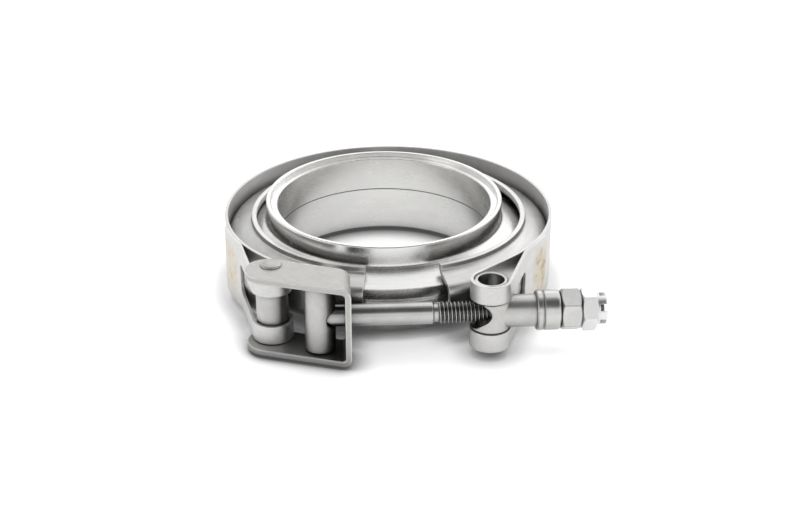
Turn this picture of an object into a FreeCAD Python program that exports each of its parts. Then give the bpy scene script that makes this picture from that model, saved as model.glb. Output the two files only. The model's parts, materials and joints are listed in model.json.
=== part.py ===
import FreeCAD, Part
import math
import os
import Sketcher
from FreeCAD import Placement, Rotation, Vector

# V band clamp with its two weld flanges, loosely closed over them.
# Millimetres and degrees. The origin is on the flange axis at the foot of the lower flange.
# The bolt lies along X in front of the ring, at negative Y, and the latch is on its left.
DIMENSIONS = (
    # weld flanges, a female one above a male one
    ("flange_height", 12.5),
    ("bore_radius", 30.0),
    ("tube_wall", 3.2),
    ("socket_wall", 1.3),
    ("socket_depth", 1.25),
    ("rim_reach", 7.8),
    ("rim_depth", 4.0),
    ("rim_chamfer", 1.0),
    ("cone_angle", 20.0),
    ("register_wall", 6.2),
    ("register_step", 1.5),
    ("register_clearance", 0.1),
    ("foot_fillet", 0.8),
    ("edge_break", 0.25),
    # the ring: where its centre lies beside and before the flange axis, and above the floor
    ("clamp_side", 1.2),
    ("clamp_forward", 0.9),
    ("clamp_drop", 0.25),
    # the ring's back half is one arc, and each front quarter is a little tighter
    ("ring_reach", 5.0),
    ("right_front_shift", 1.7),
    ("left_front_shift", 2.6),
    ("strap_gauge", 0.8),
    ("strap_width", 19.0),
    ("ply_gap", 0.05),
    ("loop_radius", 4.6),
    ("window_height", 8.8),
    ("window_corner", 2.5),
    ("ply_bend", 4.0),
    ("weld_radius", 1.6),
    ("weld_pitch", 11.0),
    # how far the pivots stand off the ring, past where the strap would just roll into its loop
    ("trunnion_stand_off", 1.7),
    ("latch_stand_off", 0.1),
    # angles round each front quarter: its pivot, where the outer ply lies down, and its free end
    ("trunnion_angle", 26.5),
    ("right_lay_angle", 49.5),
    ("right_end_angle", 64.0),
    ("latch_angle", 38.4),
    ("left_lay_angle", 62.0),
    ("left_end_angle", 77.0),
    # V retainers
    ("retainer_gauge", 1.3),
    ("retainer_clearance", 0.05),
    ("base_half", 4.75),
    ("base_bend", 2.8),
    ("leg_depth", 6.65),
    ("lip_height", 8.7),
    ("lip_bend", 0.6),
    ("right_gap_angle", 16.4),
    ("left_gap_angle", 8.4),
    ("back_gap_angle", 5.0),
    # latch bracket, its barrel and its rivet
    ("plate_gauge", 1.5),
    ("plate_clearance", 0.2),
    ("plate_back", 3.4),
    ("plate_front", 8.4),
    ("fold_radius", 1.0),
    ("web_gap", 2.4),
    ("slot_clearance", 0.35),
    ("barrel_radius", 4.25),
    ("rivet_radius", 2.0),
    ("rivet_clearance", 0.05),
    ("rivet_head_radius", 2.85),
    ("rivet_head_height", 0.8),
    ("rivet_sink", 0.8),
    # bolt and its cross bar; reaches are measured along the bolt from the trunnion axis, and the
    # cross bar stands off the latch pivot
    ("shank_radius", 2.95),
    ("thread_radius", 2.9),
    ("neck_radius", 2.45),
    ("neck_length", 0.8),
    ("bolt_break", 0.5),
    ("bar_radius", 4.05),
    ("bar_break", 0.3),
    ("bar_stand_off", 12.455),
    ("bar_mouth_radius", 3.7),
    ("bar_mouth_depth", 2.5),
    ("bar_bore_depth", 1.5),
    ("press_clearance", 0.02),
    ("shank_reach", 14.7),
    ("bolt_end", 29.6),
    # trunnion and its sleeve
    ("journal_clearance", 0.1),
    ("end_recess", 0.2),
    ("swell_radius", 5.2),
    ("swell_clearance", 0.25),
    ("swell_fillet", 0.4),
    ("trunnion_bore_radius", 3.5),
    ("sleeve_radius", 4.3),
    ("sleeve_bore_radius", 3.1),
    ("sleeve_reach", 11.8),
    ("thread_mouth_radius", 3.9),
    # thrust collar and nuts
    ("collar_radius", 5.3),
    ("collar_length", 6.3),
    ("collar_rim_length", 1.5),
    ("collar_groove", 0.3),
    ("collar_round", 0.9),
    ("collar_bore_radius", 3.05),
    ("nut_flats", 10.0),
    ("nut_height", 5.4),
    ("nut_turn", 54.5),
    ("lock_turn", 33.0),
    ("nut_bore_radius", 2.98),
    ("nut_mouth_depth", 0.5),
    ("nut_land", 0.93),
    ("lock_height", 4.2),
    ("crown_radius", 4.2),
    ("crown_height", 2.5),
    ("crown_slot_width", 1.7),
    ("crown_slot_depth", 1.9),
    ("crown_break", 0.4),
)
CROWN_SLOTS = 6
HEX_SIDES = 6

document = FreeCAD.newDocument("v_band_clamp")
sheet = document.addObject("Spreadsheet::Sheet", "Sizes")
for row, (alias, number) in enumerate(DIMENSIONS, start=1):
    sheet.set("A%d" % row, alias)
    sheet.set("B%d" % row, str(number))
    sheet.setAlias("B%d" % row, alias)
document.recompute()


def value(expression):
    """The number that an expression over the sheet gives."""
    return float(sheet.evalExpression(expression))


def size(alias):
    return value("Sizes." + alias)


# places that several pieces share, as expressions over the sheet
TUBE_RADIUS = "(Sizes.bore_radius + Sizes.tube_wall)"
SOCKET_RADIUS = "(%s - Sizes.socket_wall)" % TUBE_RADIUS
REGISTER_RADIUS = "(Sizes.bore_radius + Sizes.register_wall)"
RIM_RADIUS = "(%s + Sizes.rim_reach)" % TUBE_RADIUS
RING_RADIUS = "(%s + Sizes.ring_reach)" % RIM_RADIUS
RIGHT_FRONT_RADIUS = "(%s - Sizes.right_front_shift)" % RING_RADIUS
LEFT_FRONT_RADIUS = "(%s - Sizes.left_front_shift)" % RING_RADIUS
CLAMP_HEIGHT = "Sizes.flange_height - Sizes.clamp_drop"
TRUNNION_RADIUS = "(%s + Sizes.loop_radius + Sizes.trunnion_stand_off)" % RIGHT_FRONT_RADIUS
LATCH_RADIUS = "(%s + Sizes.loop_radius + Sizes.latch_stand_off)" % LEFT_FRONT_RADIUS
BOLT_Y = "(-Sizes.clamp_forward - %s * cos(Sizes.trunnion_angle))" % TRUNNION_RADIUS
TRUNNION_PLACE = (
    "Sizes.clamp_side + Sizes.right_front_shift + %s * sin(Sizes.trunnion_angle)" % TRUNNION_RADIUS,
    BOLT_Y,
    CLAMP_HEIGHT,
)
LATCH_PLACE = (
    "Sizes.clamp_side - Sizes.left_front_shift - %s * sin(Sizes.latch_angle)" % LATCH_RADIUS,
    "-Sizes.clamp_forward - %s * cos(Sizes.latch_angle)" % LATCH_RADIUS,
    CLAMP_HEIGHT,
)
RING_PLACE = ("Sizes.clamp_side", "-Sizes.clamp_forward", CLAMP_HEIGHT)


def set_place(piece, place):
    """Ties a piece's position to the sheet."""
    for axis, expression in zip("xyz", place):
        piece.setExpression("Placement.Base." + axis, expression)


def new_body(label, place=None):
    body = document.addObject("PartDesign::Body", label)
    body.Label = label
    if place:
        set_place(body, place)
    return body


def new_sketch(body, name, role, offset=None):
    """A sketch on one of its body's own origin planes, moved along its normal by an offset."""
    sketch = body.newObject("Sketcher::SketchObject", name)
    plane = [feature for feature in body.Origin.OriginFeatures if feature.Role == role][0]
    sketch.AttachmentSupport = [(plane, "")]
    sketch.MapMode = "FlatFace"
    if offset:
        sketch.setExpression("AttachmentOffset.Base.z", offset)
    return sketch


def add_outline(sketch, corners):
    """A closed outline of straight lines, each corner tied to a pair of expressions."""
    first = sketch.GeometryCount
    points = [Vector(value(x), value(y), 0) for x, y in corners]
    count = len(points)
    for index in range(count):
        sketch.addGeometry(Part.LineSegment(points[index], points[(index + 1) % count]), False)
    for index in range(count):
        following = first + (index + 1) % count
        sketch.addConstraint(Sketcher.Constraint("Coincident", first + index, 2, following, 1))
    for index, (x, y) in enumerate(corners):
        line = first + index
        for kind, expression, number in (("DistanceX", x, points[index].x), ("DistanceY", y, points[index].y)):
            number_id = sketch.addConstraint(Sketcher.Constraint(kind, -1, 1, line, 1, number))
            sketch.setExpression("Constraints[%d]" % number_id, expression)


def add_circle(sketch, radius, x="0", y="0"):
    """A circle tied to expressions for its radius and centre."""
    centre = Vector(value(x), value(y), 0)
    index = sketch.addGeometry(Part.Circle(centre, Vector(0, 0, 1), value(radius)), False)
    radius_id = sketch.addConstraint(Sketcher.Constraint("Radius", index, value(radius)))
    sketch.setExpression("Constraints[%d]" % radius_id, radius)
    for kind, expression, number in (("DistanceX", x, centre.x), ("DistanceY", y, centre.y)):
        number_id = sketch.addConstraint(Sketcher.Constraint(kind, -1, 1, index, 3, number))
        sketch.setExpression("Constraints[%d]" % number_id, expression)


def add_upright_axis(sketch, x):
    """A construction line parallel to the sketch's vertical axis, to roll a section about."""
    place = value(x)
    line = Part.LineSegment(Vector(place, 0, 0), Vector(place, 1, 0))
    index = sketch.addGeometry(line, True)
    for point, y in ((1, 0), (2, 1)):
        sketch.addConstraint(Sketcher.Constraint("DistanceY", -1, 1, index, point, y))
        number_id = sketch.addConstraint(Sketcher.Constraint("DistanceX", -1, 1, index, point, place))
        sketch.setExpression("Constraints[%d]" % number_id, x)


def revolve(body, sketch, name, axis="V_Axis", kind="PartDesign::Revolution"):
    feature = body.newObject(kind, name)
    feature.Profile = sketch
    feature.ReferenceAxis = (sketch, [axis])
    feature.Angle = 360
    sketch.Visibility = False
    return feature


def pad(body, sketch, name, length, both_ways=False):
    feature = body.newObject("PartDesign::Pad", name)
    feature.Profile = sketch
    feature.setExpression("Length", length)
    feature.Midplane = both_ways
    sketch.Visibility = False
    return feature


def pocket(body, sketch, name, length=None, both_ways=False, backwards=False):
    """Cuts a sketch through everything both ways, or to a length."""
    document.recompute()
    before = body.Shape.Volume
    feature = body.newObject("PartDesign::Pocket", name)
    feature.Profile = sketch
    if length:
        feature.setExpression("Length", length)
    else:
        feature.Type = "ThroughAll"
    feature.Midplane = both_ways
    feature.Reversed = backwards
    sketch.Visibility = False
    document.recompute()
    if body.Shape.Volume > before - 0.01:
        raise RuntimeError(name + " removed nothing")
    return feature


def edge_names(body, wanted):
    """Names of the edges of a body's present shape that answer a test."""
    document.recompute()
    shape = body.Tip.Shape
    return ["Edge%d" % number for number, edge in enumerate(shape.Edges, start=1) if wanted(edge)]


def ring_edge(radius, height):
    """A test for round edges about the body's Z axis, of one radius at one height."""
    def wanted(edge):
        if edge.Curve.TypeId != "Part::GeomCircle":
            return False
        return abs(edge.Curve.Radius - radius) < 0.01 and abs(edge.Curve.Center.z - height) < 0.01
    return wanted


def blend(body, name, kind, edges, amount):
    """Rounds or chamfers edges of a body, its size tied to the sheet."""
    if not edges:
        raise RuntimeError(name + " found no edges")
    previous = body.Tip
    feature = body.newObject("PartDesign::" + kind, name)
    feature.Base = (previous, edges)
    if kind == "Fillet":
        feature.setExpression("Radius", amount)
    else:
        feature.setExpression("Size", amount)
    body.Tip = feature
    return feature


# Weld flanges. Both are turned: a short tube with a shallow socket in its mouth, a 20 degree
# cone, and a rim. The male one has a step that registers in the female one.
CONE_RISE = "Sizes.rim_reach * tan(Sizes.cone_angle)"


def make_flange(label, side, register):
    """side is + above the joint and - below it; register is where the step between them lies."""
    body = new_body(label)
    sketch = new_sketch(body, label + "_profile", "XZ_Plane")
    joint = "Sizes.flange_height"

    def away(distance):
        return "%s %s (%s)" % (joint, side, distance)

    add_outline(sketch, [
        ("Sizes.bore_radius", "%s + Sizes.register_step" % joint),
        (register, "%s + Sizes.register_step" % joint),
        (register, joint),
        (RIM_RADIUS + " - Sizes.rim_chamfer", joint),
        (RIM_RADIUS, away("Sizes.rim_chamfer")),
        (RIM_RADIUS, away("Sizes.rim_depth")),
        (TUBE_RADIUS, away("Sizes.rim_depth + " + CONE_RISE)),
        (TUBE_RADIUS, away("Sizes.flange_height")),
        (SOCKET_RADIUS, away("Sizes.flange_height")),
        (SOCKET_RADIUS, away("Sizes.flange_height - Sizes.socket_depth")),
        ("Sizes.bore_radius", away("Sizes.flange_height - Sizes.socket_depth")),
    ])
    revolve(body, sketch, label + "_turning")
    foot = value(away("Sizes.rim_depth + " + CONE_RISE))
    end = value(away("Sizes.flange_height"))
    floor = value(away("Sizes.flange_height - Sizes.socket_depth"))
    foot_edges = edge_names(body, ring_edge(value(TUBE_RADIUS), foot))
    blend(body, label + "_foot", "Fillet", foot_edges, "Sizes.foot_fillet")
    lip_tests = (
        ring_edge(value(TUBE_RADIUS), end),
        ring_edge(value(SOCKET_RADIUS), end),
        ring_edge(size("bore_radius"), floor),
    )
    lips = edge_names(body, lambda edge: any(test(edge) for test in lip_tests))
    blend(body, label + "_breaks", "Chamfer", lips, "Sizes.edge_break")
    return body


upper_flange = make_flange("upper_flange", "+", REGISTER_RADIUS + " + Sizes.register_clearance")
lower_flange = make_flange("lower_flange", "-", REGISTER_RADIUS)


# V retainers: rolled sheet with a flat base against the strap, two legs at the cone's angle
# and lips that turn away from each other. One runs up each side of the ring. Its section lies
# at the ring's side and is rolled towards the back and, about its own centre, to the front.
def inside_ring(depth):
    """Radius in the back half of the ring, a depth inward of the retainer's outer face."""
    return "(%s - Sizes.strap_gauge - Sizes.retainer_clearance - (%s))" % (RING_RADIUS, depth)


def leg_outside(depth):
    return "(Sizes.base_half + (%s) * tan(Sizes.cone_angle))" % depth


def leg_inside(depth):
    return "(%s - Sizes.retainer_gauge / cos(Sizes.cone_angle))" % leg_outside(depth)


GAUGE_DEPTH = "Sizes.retainer_gauge"
LIP_DEPTH = "Sizes.leg_depth"
LIP_INNER_DEPTH = "Sizes.leg_depth + Sizes.retainer_gauge"


def make_retainer(label, side, shift, gap_angle):
    """side is + on the right of the ring and - on its left; shift is its front centre's place."""
    body = new_body(label, RING_PLACE)
    upper = [
        ("0", "Sizes.base_half"),
        (LIP_DEPTH, leg_outside(LIP_DEPTH)),
        (LIP_DEPTH, "Sizes.lip_height"),
        (LIP_INNER_DEPTH, "Sizes.lip_height"),
        (LIP_INNER_DEPTH, leg_inside(LIP_INNER_DEPTH)),
        (GAUGE_DEPTH, leg_inside(GAUGE_DEPTH)),
    ]
    lower = [(depth, "-(%s)" % height) for depth, height in reversed(upper)]
    corners = [("%s%s" % (side, inside_ring(depth)), height) for depth, height in upper + lower]
    for part, angle in (("back", "90 - Sizes.back_gap_angle"), ("front", "90 - " + gap_angle)):
        sketch = new_sketch(body, "%s_%s_section" % (label, part), "XZ_Plane")
        add_outline(sketch, corners)
        axis = "V_Axis"
        if part == "front":
            add_upright_axis(sketch, side + shift)
            axis = "Axis0"
        rolled = revolve(body, sketch, "%s_%s_rolling" % (label, part), axis)
        rolled.setExpression("Angle", angle)
        rolled.Reversed = (part == "front") == (side == "+")

    def bend_edges(depth, height):
        radii = (value(inside_ring(depth)), value("%s - %s" % (inside_ring(depth), shift)))
        tests = [ring_edge(radius, value(sign + height)) for radius in radii for sign in ("", "-")]
        return edge_names(body, lambda edge: any(test(edge) for test in tests))

    bends = (
        ("base_bend", "0", "Sizes.base_half", "Sizes.base_bend"),
        ("inner_bend", GAUGE_DEPTH, leg_inside(GAUGE_DEPTH), "Sizes.base_bend - Sizes.retainer_gauge"),
        ("lip_bend", LIP_DEPTH, leg_outside(LIP_DEPTH), "Sizes.lip_bend"),
        ("lip_round", LIP_INNER_DEPTH, leg_inside(LIP_INNER_DEPTH),
         "Sizes.lip_bend + Sizes.retainer_gauge"),
    )
    for name, depth, height, radius in bends:
        blend(body, "%s_%s" % (label, name), "Fillet", bend_edges(depth, height), radius)
    return body


right_retainer = make_retainer("right_retainer", "+", "Sizes.right_front_shift", "Sizes.right_gap_angle")
left_retainer = make_retainer("left_retainer", "-", "Sizes.left_front_shift", "Sizes.left_gap_angle")


# Band: one strip of sheet. It runs round the back of the ring, loops round each pivot and
# comes back outside itself, where it is spot welded down. A window is cut through each loop.
def turned(angle):
    return Vector(math.cos(angle), math.sin(angle), 0)


def arc_edge(centre, radius, start, end):
    """An arc between two angles in radians, by way of their middle."""
    points = [centre + turned(angle) * radius for angle in (start, (start + end) / 2, end)]
    return Part.Arc(*points).toShape()


def line_edge(start, end):
    return Part.LineSegment(start, end).toShape()


class StrapEnd:
    """Plan of one end of the band, drawn for the right half of the ring."""

    def __init__(self, front_radius, pivot_radius, pivot_angle, lay_angle, end_angle):
        self.gauge = size("strap_gauge")
        self.centre = Vector(value(RING_RADIUS) - front_radius, 0, 0)
        self.ring = front_radius - self.gauge / 2
        self.outer = front_radius + size("ply_gap") + self.gauge / 2
        self.loop = size("loop_radius") + self.gauge / 2
        self.bend = size("ply_bend")
        self.lay_angle = math.radians(lay_angle - 90)
        self.end_angle = math.radians(end_angle - 90)
        self.pivot = self.centre + turned(math.radians(pivot_angle - 90)) * pivot_radius
        # the ply from the ring to the loop is a cross tangent of the two
        lean = math.acos((self.ring + self.loop) / pivot_radius)
        self.leave_angle = math.radians(pivot_angle - 90) + lean
        self.leave = turned(self.leave_angle)
        # and the outer ply is one of the loop and of the bend where it lies down on the ring
        self.bend_centre = self.centre + turned(self.lay_angle) * (self.outer + self.bend)
        reach = self.pivot - self.bend_centre
        lean = math.acos((self.bend + self.loop) / reach.Length)
        self.normal_angle = math.atan2(reach.y, reach.x) % (2 * math.pi) - lean
        self.normal = turned(self.normal_angle)
        self.bend_point = self.bend_centre + self.normal * self.bend
        self.loop_point = self.pivot - self.normal * self.loop

    def side_edges(self, side):
        """Edges of one face of the strip from its free end to the ring's side. side is 1 for the
        face that looks out where the strip lies on the ring, and -1 for the other."""
        half = side * self.gauge / 2
        loop_start = self.normal_angle - math.pi
        loop_end = self.leave_angle - math.pi
        return [
            arc_edge(self.centre, self.outer + half, self.end_angle, self.lay_angle),
            arc_edge(self.bend_centre, self.bend - half, self.lay_angle + math.pi, self.normal_angle),
            line_edge(self.bend_point - self.normal * half, self.loop_point - self.normal * half),
            arc_edge(self.pivot, self.loop + half, loop_start, loop_end),
            line_edge(self.pivot - self.leave * (self.loop + half),
                      self.centre + self.leave * (self.ring - half)),
            arc_edge(self.centre, self.ring - half, self.leave_angle, 0),
        ]

    def free_end(self):
        out = turned(self.end_angle)
        return line_edge(self.centre + out * (self.outer - self.gauge / 2),
                         self.centre + out * (self.outer + self.gauge / 2))

    def window_cutters(self):
        """A disc round the loop and a round-cornered slab along the straight ply."""
        height = size("window_height")
        reach = (self.bend_point - self.loop_point).Length
        disc = Part.makeCylinder(self.loop + 2 * self.gauge, height, self.pivot - Vector(0, 0, height / 2))
        slab = Part.makeBox(reach, 2 * self.gauge, height, Vector(0, -self.gauge, -height / 2))
        far = [edge for edge in slab.Edges
               if edge.BoundBox.YLength > self.gauge and abs(edge.BoundBox.XMin - reach) < 0.01]
        slab = slab.makeFillet(size("window_corner"), far)
        along = self.bend_point - self.loop_point
        slab.Placement = Placement(self.loop_point, Rotation(along, self.normal, Vector(0, 0, 1), "XZY"))
        return [disc, slab]

    def spot_welds(self):
        """Welds that join the two plies where the outer one lies down."""
        radial = turned((self.lay_angle + self.end_angle) / 2)
        welds = []
        for side in (-1, 1):
            start = self.centre + radial * self.ring + Vector(0, 0, side * size("weld_pitch") / 2)
            welds.append(Part.makeCylinder(size("weld_radius"), self.outer - self.ring, start, radial))
        return welds


def mirrored(shape):
    return shape.mirror(Vector(0, 0, 0), Vector(1, 0, 0))


def make_band():
    right = StrapEnd(value(RIGHT_FRONT_RADIUS), value(TRUNNION_RADIUS), size("trunnion_angle"),
                     size("right_lay_angle"), size("right_end_angle"))
    left = StrapEnd(value(LEFT_FRONT_RADIUS), value(LATCH_RADIUS), size("latch_angle"),
                    size("left_lay_angle"), size("left_end_angle"))
    middle = value(RING_RADIUS) - size("strap_gauge") / 2
    edges = [right.free_end(), mirrored(left.free_end())]
    for side in (1, -1):
        edges += right.side_edges(side)
        edges += [mirrored(edge) for edge in left.side_edges(side)]
        edges.append(arc_edge(Vector(0, 0, 0), middle - side * size("strap_gauge") / 2, 0, math.pi))
    outline = Part.Wire(Part.__sortEdges__(edges))
    width = size("strap_width")
    strip = Part.Face(outline).extrude(Vector(0, 0, width))
    strip.translate(Vector(0, 0, -width / 2))
    cutters = right.window_cutters() + [mirrored(cutter) for cutter in left.window_cutters()]
    welds = right.spot_welds() + [mirrored(weld) for weld in left.spot_welds()]
    return strip.cut(cutters).fuse(welds).removeSplitter()


band = document.addObject("Part::Feature", "band")
band.Label = "band"
band.Shape = make_band()
set_place(band, RING_PLACE)


# Latch bracket: a folded channel with two plates on the rivet and a web that hooks the bolt.
# Its own origin is on the pivot, at the middle of its height.
BOLT_LINE = "(%s - (%s))" % (BOLT_Y, LATCH_PLACE[1])
BAR_CENTRE = "Sizes.bar_stand_off"
BAR_REACH = "((%s) - (%s) - Sizes.bar_stand_off)" % (TRUNNION_PLACE[0], LATCH_PLACE[0])
WEB_INSIDE = "(%s + Sizes.bar_radius + Sizes.web_gap)" % BAR_CENTRE
WEB_OUTSIDE = "(%s + Sizes.plate_gauge)" % WEB_INSIDE
PLATE_INSIDE = "(Sizes.strap_width / 2 + Sizes.plate_clearance)"
PLATE_OUTSIDE = "(%s + Sizes.plate_gauge)" % PLATE_INSIDE


def add_arm_outline(sketch):
    """Plan of the plates: a round end about the rivet and straight sides to the web."""
    web = value(WEB_OUTSIDE)
    line = value(BOLT_LINE)
    back = Vector(web, line + size("plate_back"), 0)
    front = Vector(web, line - size("plate_front"), 0)
    radius = (size("plate_back") + size("plate_front")) / 2
    lean = math.atan2(line, web)
    across = turned(lean - math.pi / 2)
    centre = across * ((size("plate_front") - size("plate_back")) / 2)

    def tangent_angle(corner, turn):
        """Where a line from a corner touches the round end, on the side that turn gives."""
        reach = corner - centre
        return math.atan2(reach.y, reach.x) + turn * math.acos(radius / reach.Length)

    start = tangent_angle(back, 1)
    end = tangent_angle(front, -1) + 2 * math.pi
    points = [centre + turned(angle) * radius for angle in (start, (start + end) / 2, end)]
    sketch.addGeometry(Part.Arc(*points), False)
    for first, second in ((points[2], front), (front, back), (back, points[0])):
        sketch.addGeometry(Part.LineSegment(first, second), False)
    for index, following in ((0, 1), (1, 2), (2, 3), (3, 0)):
        sketch.addConstraint(Sketcher.Constraint("Coincident", index, 2, following, 1))


latch_bracket = new_body("latch_bracket", LATCH_PLACE)
channel_sketch = new_sketch(latch_bracket, "bracket_channel", "XZ_Plane")
channel_start = "-(Sizes.plate_back + Sizes.plate_front)"
add_outline(channel_sketch, [
    (channel_start, PLATE_OUTSIDE),
    (WEB_OUTSIDE, PLATE_OUTSIDE),
    (WEB_OUTSIDE, "-" + PLATE_OUTSIDE),
    (channel_start, "-" + PLATE_OUTSIDE),
    (channel_start, "-" + PLATE_INSIDE),
    (WEB_INSIDE, "-" + PLATE_INSIDE),
    (WEB_INSIDE, PLATE_INSIDE),
    (channel_start, PLATE_INSIDE),
])
pad(latch_bracket, channel_sketch, "bracket_fold", "4 * (Sizes.plate_back + Sizes.plate_front)", both_ways=True)


def fold_edges(x, z):
    """Long edges of the channel at one corner of its section, above and below."""
    def wanted(edge):
        box = edge.BoundBox
        at_corner = abs(box.XMin - value(x)) < 0.01 and abs(abs(box.ZMin) - value(z)) < 0.01
        return at_corner and box.XLength < 0.01 and box.ZLength < 0.01
    return edge_names(latch_bracket, wanted)


blend(latch_bracket, "bracket_inner_folds", "Fillet", fold_edges(WEB_INSIDE, PLATE_INSIDE), "Sizes.fold_radius")
blend(latch_bracket, "bracket_outer_folds", "Fillet", fold_edges(WEB_OUTSIDE, PLATE_OUTSIDE),
      "Sizes.fold_radius + Sizes.plate_gauge")
trim_sketch = new_sketch(latch_bracket, "bracket_plan", "XY_Plane")
add_arm_outline(trim_sketch)
trim_reach = "3 * (Sizes.plate_back + Sizes.plate_front)"
add_outline(trim_sketch, [
    ("-" + trim_reach, trim_reach),
    (trim_reach, trim_reach),
    (trim_reach, "-" + trim_reach),
    ("-" + trim_reach, "-" + trim_reach),
])
pocket(latch_bracket, trim_sketch, "bracket_trim", "4 * " + PLATE_OUTSIDE, both_ways=True)
rivet_hole_sketch = new_sketch(latch_bracket, "bracket_rivet_hole", "XY_Plane")
add_circle(rivet_hole_sketch, "Sizes.rivet_radius + Sizes.rivet_clearance")
pocket(latch_bracket, rivet_hole_sketch, "bracket_rivet_bore", "4 * " + PLATE_OUTSIDE, both_ways=True)
sink_sketch = new_sketch(latch_bracket, "bracket_sink", "XZ_Plane")
SINK_TOP = "(-%s + Sizes.rivet_sink)" % PLATE_OUTSIDE
add_outline(sink_sketch, [
    ("0", "-" + PLATE_OUTSIDE),
    ("Sizes.rivet_radius + Sizes.rivet_sink + Sizes.rivet_clearance", "-" + PLATE_OUTSIDE),
    ("Sizes.rivet_radius + Sizes.rivet_clearance", SINK_TOP),
    ("0", SINK_TOP),
])
revolve(latch_bracket, sink_sketch, "bracket_countersink", kind="PartDesign::Groove")
slot_sketch = new_sketch(latch_bracket, "bracket_slot", "YZ_Plane", WEB_INSIDE)
SLOT_HALF = "(Sizes.shank_radius + Sizes.slot_clearance)"
add_outline(slot_sketch, [
    (BOLT_LINE, SLOT_HALF),
    (BOLT_LINE + " + 2 * Sizes.plate_back", SLOT_HALF),
    (BOLT_LINE + " + 2 * Sizes.plate_back", "-" + SLOT_HALF),
    (BOLT_LINE, "-" + SLOT_HALF),
])
pocket(latch_bracket, slot_sketch, "bracket_slot_mouth", "4 * Sizes.plate_gauge", both_ways=True)
slot_end_sketch = new_sketch(latch_bracket, "bracket_slot_end", "YZ_Plane", WEB_INSIDE)
add_circle(slot_end_sketch, SLOT_HALF, BOLT_LINE)
pocket(latch_bracket, slot_end_sketch, "bracket_slot_round", "4 * Sizes.plate_gauge", both_ways=True)


# Latch barrel: the tube on the rivet that the band's left loop turns on.
latch_barrel = new_body("latch_barrel", LATCH_PLACE)
barrel_sketch = new_sketch(latch_barrel, "barrel_section", "XZ_Plane")
BARREL_BORE = "Sizes.rivet_radius + Sizes.rivet_clearance"
BARREL_HALF = "(%s - Sizes.rivet_clearance)" % PLATE_INSIDE
add_outline(barrel_sketch, [
    (BARREL_BORE, BARREL_HALF),
    ("Sizes.barrel_radius", BARREL_HALF),
    ("Sizes.barrel_radius", "-" + BARREL_HALF),
    (BARREL_BORE, "-" + BARREL_HALF),
])
revolve(latch_barrel, barrel_sketch, "barrel_turning")


# Latch rivet: a low domed head on the upper plate, closed flush in the lower one.
latch_rivet = new_body("latch_rivet", LATCH_PLACE)
rivet_sketch = new_sketch(latch_rivet, "rivet_section", "XZ_Plane")
add_outline(rivet_sketch, [
    ("0", PLATE_OUTSIDE + " + Sizes.rivet_head_height"),
    ("0.45 * Sizes.rivet_head_radius", PLATE_OUTSIDE + " + Sizes.rivet_head_height"),
    ("0.85 * Sizes.rivet_head_radius", PLATE_OUTSIDE + " + 0.7 * Sizes.rivet_head_height"),
    ("Sizes.rivet_head_radius", PLATE_OUTSIDE + " + 0.25 * Sizes.rivet_head_height"),
    ("Sizes.rivet_head_radius", PLATE_OUTSIDE),
    ("Sizes.rivet_radius", PLATE_OUTSIDE),
    ("Sizes.rivet_radius", SINK_TOP),
    ("Sizes.rivet_radius + Sizes.rivet_sink", "-" + PLATE_OUTSIDE),
    ("0", "-" + PLATE_OUTSIDE),
])
revolve(latch_rivet, rivet_sketch, "rivet_turning")


# Bolt cross bar: the upright bar that lies behind the bracket's web.
BAR_HALF = "(Sizes.strap_width / 2 - Sizes.end_recess)"
bolt_cross_bar = new_body("bolt_cross_bar", TRUNNION_PLACE)
bar_sketch = new_sketch(bolt_cross_bar, "bar_plan", "XY_Plane", "-" + BAR_HALF)
add_circle(bar_sketch, "Sizes.bar_radius", "-" + BAR_REACH)
pad(bolt_cross_bar, bar_sketch, "bar_length", "2 * " + BAR_HALF)


def flat_round_edges(edge):
    level = edge.BoundBox.ZLength < 0.01
    return edge.Curve.TypeId == "Part::GeomCircle" and level


blend(bolt_cross_bar, "bar_breaks", "Fillet", edge_names(bolt_cross_bar, flat_round_edges), "Sizes.bar_break")
bar_bore_sketch = new_sketch(bolt_cross_bar, "bar_bore", "YZ_Plane",
                             "-%s - Sizes.bar_bore_depth" % BAR_REACH)
add_circle(bar_bore_sketch, "Sizes.shank_radius + Sizes.press_clearance")
pocket(bolt_cross_bar, bar_bore_sketch, "bar_bore_cut", "2 * Sizes.bar_radius", backwards=True)
bar_mouth_sketch = new_sketch(bolt_cross_bar, "bar_mouth", "YZ_Plane",
                              "-%s + Sizes.bar_radius - Sizes.bar_mouth_depth" % BAR_REACH)
add_circle(bar_mouth_sketch, "Sizes.bar_mouth_radius")
pocket(bolt_cross_bar, bar_mouth_sketch, "bar_mouth_cut", "2 * Sizes.bar_mouth_depth", backwards=True)


# T bolt: a plain shank from the cross bar, a neck and a rolled thread, left plain here.
t_bolt = new_body("t_bolt", TRUNNION_PLACE)
bolt_sketch = new_sketch(t_bolt, "bolt_section", "XZ_Plane")
BOLT_START = "(-%s - Sizes.bar_bore_depth + Sizes.press_clearance)" % BAR_REACH
add_outline(bolt_sketch, [
    (BOLT_START, "0"),
    (BOLT_START, "Sizes.shank_radius"),
    ("-Sizes.shank_reach - Sizes.bolt_break", "Sizes.shank_radius"),
    ("-Sizes.shank_reach", "Sizes.neck_radius"),
    ("-Sizes.shank_reach + Sizes.neck_length", "Sizes.neck_radius"),
    ("-Sizes.shank_reach + Sizes.neck_length + Sizes.bolt_break", "Sizes.thread_radius"),
    ("Sizes.bolt_end - Sizes.bolt_break", "Sizes.thread_radius"),
    ("Sizes.bolt_end", "Sizes.thread_radius - Sizes.bolt_break"),
    ("Sizes.bolt_end", "0"),
])
revolve(t_bolt, bolt_sketch, "bolt_turning", axis="H_Axis")


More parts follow.
